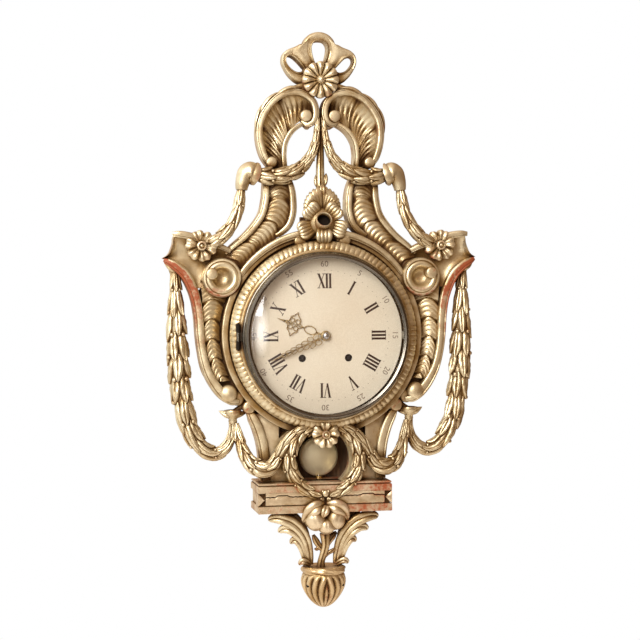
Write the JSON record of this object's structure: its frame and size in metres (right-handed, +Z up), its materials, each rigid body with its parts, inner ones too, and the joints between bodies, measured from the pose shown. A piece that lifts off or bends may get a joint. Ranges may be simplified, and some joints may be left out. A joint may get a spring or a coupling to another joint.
{
  "type": "cartel clock",
  "caption": "Carved and gilded wall clock of cartel form: ribbon-bow crest, round dial with hinged bezel, consoles with hanging garlands, wreathed pendulum window and drop finial.",
  "frame": {"origin": "where the axis of the hands meets the wall plane, on the back board's rear face", "axes": "+X to the right of someone facing the clock, +Y into the wall, +Z up; the dial faces -Y"},
  "size_m": [0.413, 0.1185, 0.7451],
  "materials": {
    "gilt_wood": "water gilding over red bole, rubbed and toned",
    "case_wood": "bare stained pine",
    "brass": "aged",
    "steel": "satin",
    "bell_metal": "cast and turned",
    "dial_enamel": "cream enamel",
    "glass": "domed, clear"
  },
  "bodies": {
    "case": {"back_board": "case_wood", "back_plate": "brass", "bell": "bell_metal", "bell_post": "steel", "case_rim": "case_wood", "console_left": "gilt_wood", "console_right": "gilt_wood", "crest_frame": "gilt_wood", "crest_rosette": "gilt_wood", "dial_plate": "dial_enamel", "dial_surround": "gilt_wood", "drop_garland_left": "gilt_wood", "drop_garland_right": "gilt_wood", "ear_rosettes": "gilt_wood", "finial": "gilt_wood", "front_plate": "brass", "fruit": "gilt_wood", "hanging_plate": "steel", "hinge_leaf": "brass", "hinge_pin": "steel", "leaf_bracket_left": "gilt_wood", "leaf_bracket_right": "gilt_wood", "lower_swag_left": "gilt_wood", "lower_swag_right": "gilt_wood", "movement_screws": "steel", "movement_straps": "brass", "palmette_flower": "gilt_wood", "pillars": "brass", "plinth": "gilt_wood", "ribbon_bow": "gilt_wood", "suspension_cock": "brass", "upper_garland_left": "gilt_wood", "upper_garland_right": "gilt_wood", "wreath": "gilt_wood", "wreath_rosette": "gilt_wood"},
    "bezel": {"bezel": "brass", "bezel_glass": "glass", "bezel_catch": "brass"},
    "minute": {"cannon_pinion": "brass", "minute_hand": "brass", "hand_nut": "brass"},
    "minute_wheel": {"minute_wheel": "brass"},
    "hour": {"hour_wheel": "brass", "hour_hand": "brass"},
    "centre": {"centre_wheel": "brass"},
    "third": {"third_wheel": "brass"},
    "escape": {"escape_wheel": "brass"},
    "intermediate": {"intermediate_wheel": "brass"},
    "going_barrel": {"going_barrel": "brass"},
    "going_arbor": {"going_arbor": "steel"},
    "strike_barrel": {"strike_barrel": "brass"},
    "strike_arbor": {"strike_arbor": "steel"},
    "pin_wheel": {"pin_wheel": "brass"},
    "hammer": {"hammer": "steel"},
    "anchor": {"anchor": "steel"},
    "pendulum": {"suspension_spring": "steel", "pendulum_rod": "steel", "pendulum_bob": "brass"},
    "rating_nut": {"rating_nut": "brass"}
  },
  "joints": [
    {"name": "bezel_open", "type": "hinge", "parent": "case", "child": "bezel", "pos_m": [-0.1125, -0.093, 0], "axis": [0, 0, -1], "range_deg": [0, 105]},
    {"name": "minute_set", "type": "hinge", "parent": "case", "child": "minute", "pos_m": [0, -0.058, 0], "axis": [0, 1, 0], "continuous": true},
    {"name": "minute_wheel_turn", "type": "hinge", "parent": "case", "child": "minute_wheel", "pos_m": [-0.01039, -0.058, 0.006], "axis": [0, 1, 0], "continuous": true},
    {"name": "hour_turn", "type": "hinge", "parent": "case", "child": "hour", "pos_m": [0, -0.058, 0], "axis": [0, 1, 0], "continuous": true},
    {"name": "third_turn", "type": "hinge", "parent": "case", "child": "third", "pos_m": [0.01012, -0.058, 0.01753], "axis": [0, 1, 0], "continuous": true},
    {"name": "centre_turn", "type": "hinge", "parent": "case", "child": "centre", "pos_m": [0, -0.058, 0], "axis": [0, 1, 0], "continuous": true},
    {"name": "escape_turn", "type": "hinge", "parent": "case", "child": "escape", "pos_m": [0, -0.058, 0.03349], "axis": [0, 1, 0], "continuous": true},
    {"name": "intermediate_turn", "type": "hinge", "parent": "case", "child": "intermediate", "pos_m": [0.02096, -0.058, -0.00126], "axis": [0, 1, 0], "continuous": true},
    {"name": "going_barrel_turn", "type": "hinge", "parent": "case", "child": "going_barrel", "pos_m": [0.03, -0.058, -0.0286], "axis": [0, 1, 0], "continuous": true},
    {"name": "going_winding", "type": "hinge", "parent": "case", "child": "going_arbor", "pos_m": [0.03, -0.058, -0.0286], "axis": [0, 1, 0], "continuous": true},
    {"name": "strike_barrel_turn", "type": "hinge", "parent": "case", "child": "strike_barrel", "pos_m": [-0.03, -0.058, -0.0286], "axis": [0, 1, 0], "continuous": true},
    {"name": "pin_wheel_turn", "type": "hinge", "parent": "case", "child": "pin_wheel", "pos_m": [-0.02096, -0.058, -0.00126], "axis": [0, 1, 0], "continuous": true},
    {"name": "strike_winding", "type": "hinge", "parent": "case", "child": "strike_arbor", "pos_m": [-0.03, -0.058, -0.0286], "axis": [0, 1, 0], "continuous": true},
    {"name": "hammer_lift", "type": "hinge", "parent": "case", "child": "hammer", "pos_m": [-0.05, -0.058, 0.044], "axis": [0, 1, 0], "range_deg": [0, 12]},
    {"name": "pendulum_swing", "type": "hinge", "parent": "case", "child": "pendulum", "pos_m": [0, -0.03, 0.04899], "axis": [0, 1, 0], "range_deg": [-3.5, 3.5]},
    {"name": "anchor_rock", "type": "hinge", "parent": "case", "child": "anchor", "pos_m": [0, -0.058, 0.04899], "axis": [0, 1, 0], "range_deg": [-3.5, 3.5]},
    {"name": "rating_nut_turn", "type": "hinge", "parent": "pendulum", "child": "rating_nut", "pos_m": [0, -0.03, -0.188], "axis": [0, 0, 1], "continuous": true}
  ],
  "couplings": [
    {"joint": "minute_wheel_turn", "follows": "minute_set", "ratio": -0.33333},
    {"joint": "hour_turn", "follows": "minute_set", "ratio": 0.083333},
    {"joint": "centre_turn", "follows": "third_turn", "ratio": -0.1},
    {"joint": "escape_turn", "follows": "third_turn", "ratio": -11},
    {"joint": "intermediate_turn", "follows": "third_turn", "ratio": 0.016667},
    {"joint": "going_barrel_turn", "follows": "third_turn", "ratio": -0.002381},
    {"joint": "pin_wheel_turn", "follows": "strike_barrel_turn", "ratio": -7},
    {"joint": "anchor_rock", "follows": "pendulum_swing", "ratio": 1}
  ]
}
